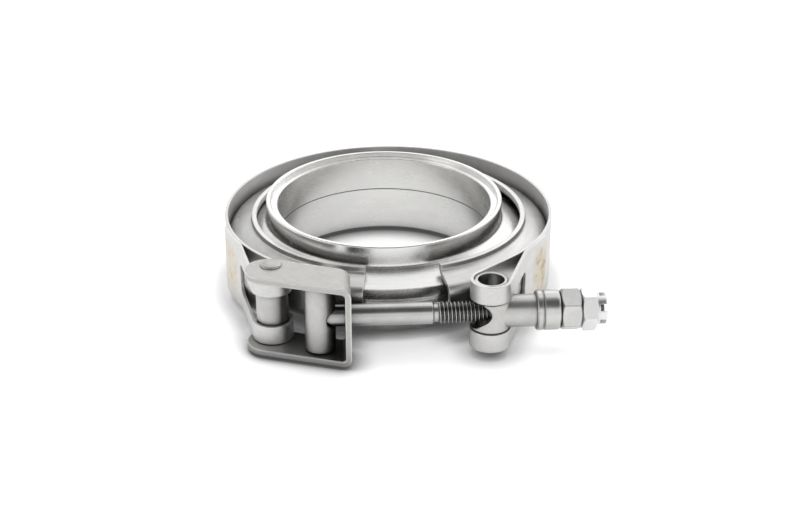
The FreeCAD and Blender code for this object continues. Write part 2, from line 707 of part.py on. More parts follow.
# Trunnion: an upright barrel in the band's right loop with a sleeve that the bolt runs through.
trunnion = new_body("trunnion", TRUNNION_PLACE)
trunnion_sketch = new_sketch(trunnion, "trunnion_section", "XZ_Plane")
JOURNAL = "(Sizes.loop_radius - Sizes.journal_clearance)"
TRUNNION_HALF = "(Sizes.strap_width / 2 - Sizes.end_recess)"
SWELL_HALF = "(Sizes.window_height / 2 - Sizes.swell_clearance)"
add_outline(trunnion_sketch, [
    ("0", TRUNNION_HALF),
    (JOURNAL, TRUNNION_HALF),
    (JOURNAL, SWELL_HALF),
    ("Sizes.swell_radius", SWELL_HALF),
    ("Sizes.swell_radius", "-" + SWELL_HALF),
    (JOURNAL, "-" + SWELL_HALF),
    (JOURNAL, "-" + TRUNNION_HALF),
    ("0", "-" + TRUNNION_HALF),
])
revolve(trunnion, trunnion_sketch, "trunnion_turning")
swell_tests = [ring_edge(size("swell_radius"), value(sign + SWELL_HALF)) for sign in ("", "-")]
blend(trunnion, "swell_rounds", "Fillet",
      edge_names(trunnion, lambda edge: any(test(edge) for test in swell_tests)), "Sizes.swell_fillet")
sleeve_sketch = new_sketch(trunnion, "sleeve_circle", "YZ_Plane")
add_circle(sleeve_sketch, "Sizes.sleeve_radius")
pad(trunnion, sleeve_sketch, "sleeve_tube", "Sizes.sleeve_reach")
barrel_bore_sketch = new_sketch(trunnion, "barrel_bore", "XY_Plane")
add_circle(barrel_bore_sketch, "Sizes.trunnion_bore_radius")
pocket(trunnion, barrel_bore_sketch, "barrel_bore_cut", "4 * " + TRUNNION_HALF, both_ways=True)
sleeve_bore_sketch = new_sketch(trunnion, "sleeve_bore", "YZ_Plane")
add_circle(sleeve_bore_sketch, "Sizes.sleeve_bore_radius")
pocket(trunnion, sleeve_bore_sketch, "sleeve_bore_cut", "4 * Sizes.sleeve_reach", both_ways=True)
thread_mouth_sketch = new_sketch(trunnion, "thread_mouth", "YZ_Plane")
add_circle(thread_mouth_sketch, "Sizes.thread_mouth_radius")
pocket(trunnion, thread_mouth_sketch, "thread_mouth_cut", "2 * Sizes.swell_radius")


# Thrust collar: a turned bush between the sleeve's end and the nuts.
thrust_collar = new_body("thrust_collar", TRUNNION_PLACE)
collar_sketch = new_sketch(thrust_collar, "collar_section", "XZ_Plane")
RIM_END = "Sizes.sleeve_reach + Sizes.collar_rim_length"
COLLAR_END = "Sizes.sleeve_reach + Sizes.collar_length"
add_outline(collar_sketch, [
    ("Sizes.sleeve_reach", "Sizes.collar_bore_radius"),
    ("Sizes.sleeve_reach", "Sizes.collar_radius - Sizes.collar_groove"),
    ("Sizes.sleeve_reach + Sizes.collar_groove", "Sizes.collar_radius"),
    (RIM_END, "Sizes.collar_radius"),
    (RIM_END, "Sizes.collar_radius - Sizes.collar_groove"),
    (RIM_END + " + Sizes.collar_groove", "Sizes.collar_radius - Sizes.collar_groove"),
    (RIM_END + " + 2 * Sizes.collar_groove", "Sizes.collar_radius"),
    (COLLAR_END, "Sizes.collar_radius"),
    (COLLAR_END, "Sizes.collar_bore_radius"),
])
revolve(thrust_collar, collar_sketch, "collar_turning", axis="H_Axis")


def collar_outer_end(edge):
    box = edge.BoundBox
    round_edge = edge.Curve.TypeId == "Part::GeomCircle"
    return round_edge and abs(box.XMin - value(COLLAR_END)) < 0.01 and box.ZLength > 2 * size("collar_bore_radius") + 1


blend(thrust_collar, "collar_round", "Fillet", edge_names(thrust_collar, collar_outer_end), "Sizes.collar_round")


# Nuts: six flats with chamfered corners. Both share one plan; the lock nut adds a slotted crown.
HALF_FLATS = "(Sizes.nut_flats / 2)"
HEX_CORNER = "(Sizes.nut_flats / 2 / cos(30))"


def make_nut(label, start, height, turn, far_mouth):
    """turn is how far a corner stands round from straight up; far_mouth opens the outer face."""
    body = new_body(label, TRUNNION_PLACE)
    sketch = new_sketch(body, label + "_hexagon", "YZ_Plane", start)
    corners = []
    for index in range(HEX_SIDES):
        angle = "(%s + %d)" % (turn, 90 + index * 60)
        corners.append(("%s * cos(%s)" % (HEX_CORNER, angle), "%s * sin(%s)" % (HEX_CORNER, angle)))
    add_outline(sketch, corners)
    pad(body, sketch, label + "_blank", height)
    end = "(%s + %s)" % (start, height)
    slope = "(%s - %s) * tan(30)" % (HEX_CORNER, HALF_FLATS + " * Sizes.nut_land")
    for name, face, inward in (("near", start, "+"), ("far", end, "-")):
        chamfer = new_sketch(body, "%s_%s_chamfer" % (label, name), "XZ_Plane")
        add_outline(chamfer, [
            (face, HALF_FLATS + " * Sizes.nut_land"),
            (face, HEX_CORNER + " + 1"),
            ("%s %s (%s + tan(30))" % (face, inward, slope), HEX_CORNER + " + 1"),
        ])
        document.recompute()
        revolve(body, chamfer, "%s_%s_corners" % (label, name), axis="H_Axis", kind="PartDesign::Groove")
    bore = new_sketch(body, label + "_bore", "XZ_Plane")
    mouth = "Sizes.nut_bore_radius + Sizes.nut_mouth_depth"
    profile = [
        (start, "0"),
        (start, mouth),
        (start + " + Sizes.nut_mouth_depth", "Sizes.nut_bore_radius"),
    ]
    if far_mouth:
        profile += [(end + " - Sizes.nut_mouth_depth", "Sizes.nut_bore_radius"), (end, mouth)]
    else:
        profile += [(end, "Sizes.nut_bore_radius")]
    profile += [(end, "0")]
    add_outline(bore, profile)
    document.recompute()
    revolve(body, bore, label + "_thread_bore", axis="H_Axis", kind="PartDesign::Groove")
    return body


NUT_START = "(%s)" % COLLAR_END
LOCK_START = "(%s + Sizes.nut_height)" % NUT_START
LOCK_END = "(%s + Sizes.lock_height)" % LOCK_START
plain_nut = make_nut("plain_nut", NUT_START, "Sizes.nut_height", "Sizes.nut_turn", True)
lock_nut = make_nut("lock_nut", LOCK_START, "Sizes.lock_height", "Sizes.lock_turn", False)
crown_sketch = new_sketch(lock_nut, "crown_ring", "YZ_Plane", LOCK_END)
add_circle(crown_sketch, "Sizes.crown_radius")
add_circle(crown_sketch, "Sizes.nut_bore_radius")
pad(lock_nut, crown_sketch, "crown_blank", "Sizes.crown_height")


def crown_outer_end(edge):
    box = edge.BoundBox
    at_end = abs(box.XMin - value("%s + Sizes.crown_height" % LOCK_END)) < 0.01
    return edge.Curve.TypeId == "Part::GeomCircle" and at_end and box.ZLength > 2 * size("nut_bore_radius") + 1


blend(lock_nut, "crown_break", "Chamfer", edge_names(lock_nut, crown_outer_end), "Sizes.crown_break")
crown_slot_sketch = new_sketch(lock_nut, "crown_slot", "YZ_Plane",
                               "%s + Sizes.crown_height - Sizes.crown_slot_depth" % LOCK_END)
SLOT_SIDE = "Sizes.crown_slot_width / 2"
add_outline(crown_slot_sketch, [
    ("-" + SLOT_SIDE, "Sizes.nut_bore_radius / 2"),
    (SLOT_SIDE, "Sizes.nut_bore_radius / 2"),
    (SLOT_SIDE, "Sizes.crown_radius + 1"),
    ("-" + SLOT_SIDE, "Sizes.crown_radius + 1"),
])
crown_slot = pocket(lock_nut, crown_slot_sketch, "crown_slot_cut", "2 * Sizes.crown_height", backwards=True)
crown_pattern = lock_nut.newObject("PartDesign::PolarPattern", "crown_slots")
crown_pattern.Originals = [crown_slot]
crown_pattern.Axis = (crown_slot_sketch, ["N_Axis"])
crown_pattern.Angle = 360
crown_pattern.Occurrences = CROWN_SLOTS
lock_nut.Tip = crown_pattern


PIECES = (
    upper_flange, lower_flange, band, left_retainer, right_retainer,
    latch_bracket, latch_barrel, latch_rivet, bolt_cross_bar, t_bolt,
    trunnion, thrust_collar, plain_nut, lock_nut,
)


def write_pieces():
    """Checks every object and writes each piece to its own file."""
    document.recompute()
    for item in document.Objects:
        if "Invalid" in item.State or "Error" in item.State:
            raise RuntimeError("%s did not build: %s" % (item.Name, item.State))
    os.makedirs("parts", exist_ok=True)
    for piece in PIECES:
        shape = piece.Shape
        if shape.isNull() or not shape.isValid() or len(shape.Solids) != 1:
            raise RuntimeError(piece.Label + " has no single valid solid")
        shape.exportStep(os.path.join("parts", piece.Label + ".step"))
        box = shape.BoundBox
        print("%-16s %9.2f mm3  x %.2f %.2f  y %.2f %.2f  z %.2f %.2f" % (
            piece.Label, shape.Volume, box.XMin, box.XMax, box.YMin, box.YMax, box.ZMin, box.ZMax))


write_pieces()
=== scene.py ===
import json
import math
import bmesh
import bpy
from mathutils import Matrix, Vector


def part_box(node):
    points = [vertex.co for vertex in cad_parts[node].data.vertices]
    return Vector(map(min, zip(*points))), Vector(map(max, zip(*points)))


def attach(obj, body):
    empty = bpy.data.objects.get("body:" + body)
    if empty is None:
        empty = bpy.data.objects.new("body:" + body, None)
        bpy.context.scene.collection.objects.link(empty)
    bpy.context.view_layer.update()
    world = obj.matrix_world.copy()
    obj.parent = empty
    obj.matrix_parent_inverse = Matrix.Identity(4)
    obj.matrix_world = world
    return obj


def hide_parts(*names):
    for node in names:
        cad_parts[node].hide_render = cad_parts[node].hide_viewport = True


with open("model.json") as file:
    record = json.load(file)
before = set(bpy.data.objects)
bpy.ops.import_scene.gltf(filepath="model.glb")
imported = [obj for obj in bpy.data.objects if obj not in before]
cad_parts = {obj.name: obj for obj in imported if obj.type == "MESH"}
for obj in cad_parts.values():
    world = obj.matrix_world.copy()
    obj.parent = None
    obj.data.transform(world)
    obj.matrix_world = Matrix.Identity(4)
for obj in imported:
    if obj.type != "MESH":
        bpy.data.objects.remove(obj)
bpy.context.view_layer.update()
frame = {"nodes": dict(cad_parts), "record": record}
print("frame loaded:", len(frame["nodes"]), "nodes")


def addObject(name, data):
    item = bpy.data.objects.new(name, data)
    bpy.context.scene.collection.objects.link(item)
    return item


# the camera stands where the photograph was taken
viewpoint = {
    "elevation": 26.36,
    "azimuth": -3.27,
    "roll": 0.02,
    "distance": 0.45,
    "target": (0.0045256, -0.0003142, 0.0061337),
    "lens": 70.424,
    "sensor": 36.0,
    "clip": (0.01, 50.0),
}


def makeCamera(look):
    elevation = math.radians(look["elevation"])
    azimuth = math.radians(look["azimuth"])
    level = math.cos(elevation)
    back = Vector((math.sin(azimuth) * level, -math.cos(azimuth) * level, math.sin(elevation)))
    right = Vector((math.cos(azimuth), math.sin(azimuth), 0.0))
    up = back.cross(right)
    roll = Matrix.Rotation(math.radians(look["roll"]), 3, "Z")
    turn = Matrix((right, up, back)).transposed() @ roll
    data = bpy.data.cameras.new("photoCamera")
    data.lens = look["lens"]
    data.sensor_width = look["sensor"]
    data.sensor_fit = "HORIZONTAL"
    data.clip_start, data.clip_end = look["clip"]
    camera = addObject("photoCamera", data)
    camera.matrix_world = Matrix.Translation(Vector(look["target"]) + back * look["distance"]) @ turn.to_4x4()
    bpy.context.scene.camera = camera


makeCamera(viewpoint)
print("camera placed")


# short ways to build node trees
def addNode(tree, kind, values=None, **settings):
    item = tree.nodes.new(kind)
    for key, setting in settings.items():
        setattr(item, key, setting)
    for key, amount in (values or {}).items():
        item.inputs[key].default_value = amount
    return item


def join(tree, source, target):
    tree.links.new(source, target)


def calc(tree, operation, first, second=None):
    item = addNode(tree, "ShaderNodeMath", operation=operation)
    for index, source in enumerate((first, second)):
        if source is None:
            continue
        if isinstance(source, (int, float)):
            item.inputs[index].default_value = source
        else:
            join(tree, source, item.inputs[index])
    return item.outputs[0]


def ramp(tree, source, fromLow, fromHigh, toLow=0.0, toHigh=1.0, smooth=True):
    reach = {"From Min": fromLow, "From Max": fromHigh, "To Min": toLow, "To Max": toHigh}
    curve = "SMOOTHSTEP" if smooth else "LINEAR"
    item = addNode(tree, "ShaderNodeMapRange", reach, interpolation_type=curve, clamp=True)
    join(tree, source, item.inputs["Value"])
    return item.outputs["Result"]


def mixColour(tree, share, first, second):
    item = addNode(tree, "ShaderNodeMix", data_type="RGBA")
    for socket, source in ((item.inputs[0], share), (item.inputs[6], first), (item.inputs[7], second)):
        if isinstance(source, (int, float)):
            socket.default_value = source
        elif isinstance(source, tuple):
            socket.default_value = (*source, 1.0)
        else:
            join(tree, source, socket)
    return item.outputs[2]


def grain(tree, vector, scale, detail=2.0, rough=0.6):
    item = addNode(tree, "ShaderNodeTexNoise", {"Scale": scale, "Detail": detail, "Roughness": rough})
    join(tree, vector, item.inputs["Vector"])
    return item.outputs["Fac"]


def threeWays(tree, first, second, third):
    item = addNode(tree, "ShaderNodeCombineXYZ")
    for index, source in enumerate((first, second, third)):
        join(tree, source, item.inputs[index])
    return item.outputs[0]


def aroundAxis(tree, place, axis, centre):
    # radius from an axis, height along it and angle round it, in metres and radians
    moved = addNode(tree, "ShaderNodeVectorMath", operation="SUBTRACT")
    join(tree, place, moved.inputs[0])
    moved.inputs[1].default_value = centre
    split = addNode(tree, "ShaderNodeSeparateXYZ")
    join(tree, moved.outputs[0], split.inputs[0])
    order = {"Z": (0, 1, 2), "X": (1, 2, 0)}[axis]
    across, upwards, along = (split.outputs[index] for index in order)
    squares = calc(tree, "ADD", calc(tree, "MULTIPLY", across, across), calc(tree, "MULTIPLY", upwards, upwards))
    return calc(tree, "SQRT", squares), along, calc(tree, "ARCTAN2", upwards, across)


def tinted(colour, tone):
    return tuple(min(1.0, part * tone) for part in colour)


# the bands of noise and distance that turn into marks, and the tones that they get
marks = {
    "cloudDetail": 3.0,
    "noiseBand": (0.35, 0.65),
    "fineBand": (0.4, 0.62),
    "lightTone": 1.12,
    "paintedCornerShadeTone": 0.2,
    "valleyTone": 0.12,
    "valleyFade": 0.0003,
    "seamColour": (0.05, 0.05, 0.05),
    "seamShare": 0.8,
    "seamSide": (1.4, 0.6),
    "seamFade": 0.0002,
    "edgeBand": (0.995, 0.9),
    "edgeSamples": 4,
    "cornerSamples": 6,
    "turnedDrift": 0.0004,
    "drawnDrift": 0.002,
    "drawnDepth": 0.3,
    "tintFull": 0.35,
    "tintFlat": 0.5,
    "strawGrain": (240.0, 3.0, 0.65),
    "strawBand": (0.3, 0.6, 0.25, 1.0),
    "brownGrain": (430.0, 3.0, 0.7),
    "brownBand": (0.48, 0.66),
}


def machiningLines(tree, place, look):
    if "turned" in look:  # lathe lines round an axis
        radius, along, angle = aroundAxis(tree, place, look["turned"]["axis"], look["turned"]["centre"])
        lines = threeWays(tree, radius, along, calc(tree, "MULTIPLY", angle, marks["turnedDrift"]))
        return grain(tree, lines, look["turned"]["scale"])
    if "drawn" in look:  # rolling lines along a strip that runs round the ring
        radius, along, angle = aroundAxis(tree, place, "Z", look["drawn"]["centre"])
        lines = threeWays(tree, calc(tree, "MULTIPLY", radius, marks["drawnDepth"]), along,
                          calc(tree, "MULTIPLY", angle, marks["drawnDrift"]))
        return grain(tree, lines, look["drawn"]["scale"])
    lines = addNode(tree, "ShaderNodeMapping", {"Scale": look["brushed"]["stretch"]})
    join(tree, place, lines.inputs["Vector"])
    return grain(tree, lines.outputs["Vector"], look["brushed"]["scale"])


def seamLine(tree, place, shade, seam):
    # dark line where two faces meet in the bore
    radius, along = aroundAxis(tree, place, "Z", seam["centre"])[:2]
    away = calc(tree, "ABSOLUTE", calc(tree, "SUBTRACT", along, seam["height"]))
    outer, inner = (seam["half"] * part for part in marks["seamSide"])
    line = calc(tree, "MULTIPLY", ramp(tree, away, outer, inner),
                ramp(tree, radius, seam["reach"] + marks["seamFade"], seam["reach"]))
    return mixColour(tree, calc(tree, "MULTIPLY", line, marks["seamShare"]), shade, marks["seamColour"])


def paintedThreadShade(tree, place, shade, valley, colour):
    # painted shade in the bottom of the thread, darker towards its root
    radius, along = aroundAxis(tree, place, "X", valley["centre"])[:2]
    deep = ramp(tree, radius, valley["crest"], valley["root"], 0.0, valley["share"])
    deep = calc(tree, "MULTIPLY", deep, ramp(tree, along, valley["from"], valley["from"] + marks["valleyFade"]))
    return mixColour(tree, deep, shade, tinted(colour, marks["valleyTone"]))


def heatTint(tree, place, shade, tint):
    # straw and brown where the plies are spot welded
    along, angle = aroundAxis(tree, place, "Z", tint["centre"])[1:]
    away = calc(tree, "ABSOLUTE", calc(tree, "SUBTRACT", angle, math.radians(tint["angle"])))
    high = calc(tree, "ABSOLUTE", calc(tree, "SUBTRACT", along, tint["height"]))
    wide = math.radians(tint["wide"])
    share = calc(tree, "MULTIPLY", ramp(tree, away, wide, wide * marks["tintFull"]),
                 ramp(tree, high, tint["tall"], tint["tall"] * marks["tintFlat"]))
    share = calc(tree, "MULTIPLY", share, ramp(tree, grain(tree, place, *marks["strawGrain"]), *marks["strawBand"]))
    shade = mixColour(tree, calc(tree, "MULTIPLY", share, tint["share"]), shade, tint["straw"])
    core = calc(tree, "MULTIPLY", share, ramp(tree, grain(tree, place, *marks["brownGrain"]), *marks["brownBand"]))
    return mixColour(tree, calc(tree, "MULTIPLY", core, tint["share"]), shade, tint["brown"])


def metal(name, look):
    material = bpy.data.materials.new(name)
    material.use_nodes = True
    tree = material.node_tree
    shader = tree.nodes["Principled BSDF"]
    shader.inputs["Metallic"].default_value = 1.0
    place = addNode(tree, "ShaderNodeTexCoord").outputs["Object"]
    colour = look["colour"]
    darker = tinted(colour, look["dark"])
    clouds = grain(tree, place, look["cloudScale"], marks["cloudDetail"])
    specks = grain(tree, place, look["speckScale"])
    grooves = machiningLines(tree, place, look)

    shade = mixColour(tree, ramp(tree, clouds, *marks["noiseBand"]), darker, colour)
    speckShare = calc(tree, "MULTIPLY", ramp(tree, specks, *marks["fineBand"]), look["speckShare"])
    shade = mixColour(tree, speckShare, shade, tinted(colour, marks["lightTone"]))
    lineShare = calc(tree, "MULTIPLY", ramp(tree, grooves, *marks["fineBand"]), look["lineShare"])
    shade = mixColour(tree, lineShare, shade, darker)

    # edges are rounded in the shading, and their colour gets a painted highlight (a painted dark line where the tone
    # is below one)
    edge = addNode(tree, "ShaderNodeBevel", {"Radius": look["edge"]}, samples=marks["edgeSamples"])
    facing = addNode(tree, "ShaderNodeVectorMath", operation="DOT_PRODUCT")
    join(tree, edge.outputs[0], facing.inputs[0])
    join(tree, addNode(tree, "ShaderNodeNewGeometry").outputs["Normal"], facing.inputs[1])
    paintedEdgeLight = ramp(tree, facing.outputs["Value"], *marks["edgeBand"], 0.0, look["paintedEdgeLight"])
    shade = mixColour(tree, paintedEdgeLight, shade, tinted(colour, look["paintedEdgeLightTone"]))

    if "seam" in look:
        shade = seamLine(tree, place, shade, look["seam"])
    if "valley" in look:
        shade = paintedThreadShade(tree, place, shade, look["valley"], colour)
    # painted shade: the colour darkens where ambient occlusion finds other surfaces near, in corners and between
    # parts
    corner = addNode(tree, "ShaderNodeAmbientOcclusion", {"Distance": look["corner"]}, samples=marks["cornerSamples"])
    paintedCornerShade = ramp(tree, corner.outputs["AO"], *look["covered"], 0.0, look["paintedCornerShade"], False)
    shade = mixColour(tree, paintedCornerShade, shade, tinted(colour, marks["paintedCornerShadeTone"]))
    for tint in look.get("tints", ()):
        shade = heatTint(tree, place, shade, tint)

    smoothest, roughest = look["rough"]
    rough = calc(tree, "ADD", ramp(tree, grooves, *marks["noiseBand"], smoothest, roughest, False),
                 ramp(tree, clouds, *marks["noiseBand"], 0.0, roughest - smoothest, False))
    height = calc(tree, "ADD", calc(tree, "MULTIPLY", grooves, look["lineDepth"]),
                  calc(tree, "MULTIPLY", specks, look["speckDepth"]))
    height = calc(tree, "ADD", height, calc(tree, "MULTIPLY", clouds, look["cloudDepth"]))
    bump = addNode(tree, "ShaderNodeBump", {"Strength": 1.0, "Distance": 1.0})
    join(tree, height, bump.inputs["Height"])
    join(tree, edge.outputs[0], bump.inputs["Normal"])
    join(tree, bump.outputs[0], shader.inputs["Normal"])
    join(tree, shade, shader.inputs["Base Color"])
    join(tree, rough, shader.inputs["Roughness"])
    return material


ringCentre = (0.0, 0.0, 0.0)
bandCentre = (0.0012, -0.0009, 0.0)
boltLine = (0.0255, -0.046184, 0.01225)

# what all the steels share, unless a finish says otherwise
plainSheet = {
    "colour": (0.61, 0.605, 0.595),
    "dark": 0.88,
    "cloudScale": 160.0,
    "speckScale": 2600.0,
    "speckShare": 0.3,
    "lineShare": 0.25,
    "rough": (0.34, 0.44),
    "edge": 0.0004,
    "paintedEdgeLight": 0.6,
    "paintedEdgeLightTone": 1.25,
    "covered": (0.9, 0.3),
    "corner": 0.009,
    "paintedCornerShade": 0.85,
    "lineDepth": 0.0000015,
    "speckDepth": 0.000002,
    "cloudDepth": 0.000007,
}

finishes = {
    "turned_flange": {
        **plainSheet,
        "colour": (0.82, 0.815, 0.80),
        "dark": 0.93,
        "corner": 0.004,
        "paintedCornerShade": 0.05,
        "paintedEdgeLight": 0.15,
        "turned": {"axis": "Z", "centre": ringCentre, "scale": 3600.0},
        "rough": (0.20, 0.25),
        "lineDepth": 0.0000005,
        "speckDepth": 0.0000003,
        "cloudDepth": 0.000002,
        "speckShare": 0.1,
        "lineShare": 0.3,
        "seam": {"centre": ringCentre, "height": 0.014, "half": 0.00015, "reach": 0.0304},
    },
    "strap_steel": {
        **plainSheet,
        "colour": (0.71, 0.705, 0.695),
        "drawn": {"centre": bandCentre, "scale": 3200.0},
        "corner": 0.006,
        "paintedCornerShade": 0.2,
        "tints": (
            {"centre": bandCentre, "angle": -163.0, "wide": 11.0, "height": 0.0122, "tall": 0.0085, "share": 0.75,
             "straw": (0.66, 0.60, 0.47), "brown": (0.52, 0.42, 0.28)},
            {"centre": bandCentre, "angle": -28.5, "wide": 9.0, "height": 0.0122, "tall": 0.0092, "share": 0.85,
             "straw": (0.62, 0.55, 0.41), "brown": (0.40, 0.31, 0.19)},
        ),
    },
    "retainer_steel": {
        **plainSheet,
        "colour": (0.72, 0.715, 0.705),
        "paintedCornerShade": 0.5,
        "drawn": {"centre": bandCentre, "scale": 2600.0},
        "rough": (0.25, 0.34),
        "cloudDepth": 0.00002,
    },
    "latch_steel": {
        **plainSheet,
        "colour": (0.50, 0.495, 0.48),
        "brushed": {"stretch": (0.25, 1.0, 1.0), "scale": 2400.0},
        "paintedEdgeLight": 1.0,
        "paintedEdgeLightTone": 2.0,
        "edge": 0.0006,
    },
    "barrel_steel": {
        **plainSheet,
        "colour": (0.61, 0.605, 0.59),
        "brushed": {"stretch": (1.0, 1.0, 0.2), "scale": 2600.0},
        "rough": (0.28, 0.38),
        "covered": (0.97, 0.5),
        "corner": 0.012,
        "paintedCornerShade": 0.95,
    },
    "bolt_steel": {
        **plainSheet,
        "colour": (0.56, 0.555, 0.55),
        "turned": {"axis": "X", "centre": boltLine, "scale": 3600.0},
        "rough": (0.19, 0.22),
        "valley": {"centre": boltLine, "crest": 0.00285, "root": 0.00255, "share": 0.85, "from": -0.0139},
        "speckShare": 0.05,
        "lineShare": 0.12,
        "lineDepth": 0.0000002,
        "speckDepth": 0.0000001,
        "cloudDepth": 0.000001,
    },
    "trunnion_steel": {
        **plainSheet,
        "colour": (0.60, 0.595, 0.58),
        "brushed": {"stretch": (1.0, 1.0, 0.3), "scale": 2600.0},
        "rough": (0.26, 0.36),
    },
    "nut_steel": {
        **plainSheet,
        "colour": (0.64, 0.635, 0.625),
        "turned": {"axis": "X", "centre": boltLine, "scale": 4200.0},
        "rough": (0.22, 0.24),
        "paintedEdgeLightTone": 0.45,
        "paintedEdgeLight": 0.7,
        "speckShare": 0.1,
        "speckDepth": 0.00000005,
        "lineDepth": 0.0000001,
        "cloudDepth": 0.000001,
    },
    "lock_nut_plate": {
        **plainSheet,
        "colour": (0.82, 0.82, 0.82),
        "dark": 0.95,
        "corner": 0.003,
        "paintedCornerShade": 0.3,
        "brushed": {"stretch": (1.0, 1.0, 1.0), "scale": 1800.0},
        "rough": (0.28, 0.36),
        "speckDepth": 0.0000008,
        "lineDepth": 0.0000006,
    },
}

slotOf = {row["node"]: row["material_slot"] for row in frame["record"]["subparts"]}
materials = {slotName: metal(slotName, look) for slotName, look in finishes.items()}
for nodeName, cadPiece in frame["nodes"].items():
    finish = materials[slotOf[nodeName]]
    if cadPiece.material_slots:
        for place in cadPiece.material_slots:
            place.material = finish
    else:
        cadPiece.data.materials.append(finish)
print("finishes given to", len(frame["nodes"]), "pieces")

sharpAngle = math.radians(28.0)


def toMesh(mesh, name):
    data = bpy.data.meshes.new(name)
    mesh.to_mesh(data)
    mesh.free()
    return data


def shadeSmooth(data):
    for polygon in data.polygons:
        polygon.use_smooth = True
    data.set_sharp_from_angle(angle=sharpAngle)


bolt = {
    "axisY": -0.046184,
    "axisZ": 0.01225,
    "shankRadius": 0.00295,
    "neckRadius": 0.00245,
    "threadRadius": 0.00294,
    "coreRadius": 0.00241,
    "pitch": 0.001,
    "shankEnd": 0.010778,
    "neckLength": 0.0008,
    "neckBreak": 0.0002,
    "tipBreak": 0.0006,
    "tipStep": 0.0004,
    "endBreak": 0.0005,
    "toothSink": 0.00006,
    "toothFlat": 0.14,
    "toothAngle": 30.0,
    "toothStart": 0.0001,
    "threadTip": 0.6,
    "threadRest": 0.9,
    "around": 64,
    "threadSteps": 40,
    "mergeDistance": 0.0000005,
}


def turnProfile(mesh, points, look):
    # a profile of (x, radius) points, spun round the bolt's axis
    row = [mesh.verts.new((x, look["axisY"], look["axisZ"] + radius)) for x, radius in points]
    edges = [mesh.edges.new(pair) for pair in zip(row, row[1:])]
    bmesh.ops.spin(mesh, geom=row + edges, cent=(0.0, look["axisY"], look["axisZ"]), axis=(1.0, 0.0, 0.0),
                   angle=math.tau, steps=look["around"], use_merge=True)


def cutThread(mesh, start, end, look):
    # one tooth of the thread, swept along its helix
    crest, root = look["threadRadius"], look["coreRadius"] - look["toothSink"]
    flank = (crest - root) * math.tan(math.radians(look["toothAngle"]))
    flat = look["pitch"] * look["toothFlat"]
    tooth = [mesh.verts.new((start + x, look["axisY"], look["axisZ"] + radius)) for x, radius in (
        (0.0, root), (flank, crest), (flank + flat, crest), (2 * flank + flat, root))]
    face = mesh.faces.new(tooth)
    turns = math.floor((end - look["tipBreak"] * look["threadTip"] - start) / look["pitch"] - look["threadRest"])
    bmesh.ops.spin(mesh, geom=[face], cent=(0.0, look["axisY"], look["axisZ"]), axis=(1.0, 0.0, 0.0),
                   dvec=(look["pitch"] / look["threadSteps"], 0.0, 0.0), angle=math.tau * turns,
                   steps=look["threadSteps"] * turns, use_merge=False)
    return turns


def makeBolt(look):
    low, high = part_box("t_bolt")
    mesh = bmesh.new()
    neckEnd = look["shankEnd"] + look["neckLength"]
    shank, neck, core = look["shankRadius"], look["neckRadius"], look["coreRadius"]
    turnProfile(mesh, [
        (low.x, 0.0),
        (low.x, shank - look["endBreak"]),
        (low.x + look["endBreak"], shank),
        (look["shankEnd"] - look["endBreak"], shank),
        (look["shankEnd"], neck),
        (neckEnd, neck),
        (neckEnd + look["neckBreak"], core),
        (high.x - look["tipBreak"], core),
        (high.x, core - look["tipStep"]),
        (high.x, 0.0),
    ], look)
    turns = cutThread(mesh, neckEnd + look["toothStart"], high.x, look)
    bmesh.ops.remove_doubles(mesh, verts=mesh.verts, dist=look["mergeDistance"])
    bmesh.ops.recalc_face_normals(mesh, faces=mesh.faces)
    data = toMesh(mesh, "threaded_t_bolt")
    shadeSmooth(data)
    data.materials.append(materials["bolt_steel"])
    piece = addObject("threaded_t_bolt", data)
    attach(piece, "bolt")
    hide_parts("t_bolt")
    print("t bolt:", turns, "turns of thread,", len(data.polygons), "faces")


makeBolt(bolt)

trunnionMouth = {
    "forward": 0.0017,
    "width": 0.0041,
    "height": 0.0041,
    "nose": 0.0042,
    "end": 0.002,
    "tilt": -15.0,
    "reach": 0.008,
    "noseEdge": 0.001,
    "around": 64,
    "mergeDistance": 0.000001,
    "shadingWeight": 50,
}


def makeMouthCutter(look):
    # a ball whose back half is drawn out to the left, its nose tilted up
    mesh = bmesh.new()
    bmesh.ops.create_uvsphere(mesh, u_segments=look["around"], v_segments=look["around"] // 2, radius=1.0)
    bmesh.ops.rotate(mesh, verts=mesh.verts, cent=(0.0, 0.0, 0.0), matrix=Matrix.Rotation(math.pi / 2, 3, "Y"))
    bmesh.ops.scale(mesh, verts=mesh.verts, vec=(look["nose"], look["width"], look["height"]))
    tail = [corner for corner in mesh.verts if corner.co.x < -look["nose"] * look["noseEdge"]]
    bmesh.ops.translate(mesh, verts=tail, vec=(-look["reach"], 0.0, 0.0))
    bmesh.ops.rotate(mesh, verts=mesh.verts, cent=(-look["nose"], 0.0, 0.0),
                     matrix=Matrix.Rotation(math.radians(look["tilt"]), 3, "Y"))
    bmesh.ops.translate(mesh, verts=mesh.verts,
                        vec=(boltLine[0] + look["end"] - look["nose"], boltLine[1] - look["forward"], boltLine[2]))
    return addObject("mouthCutter", toMesh(mesh, "mouthCutter"))


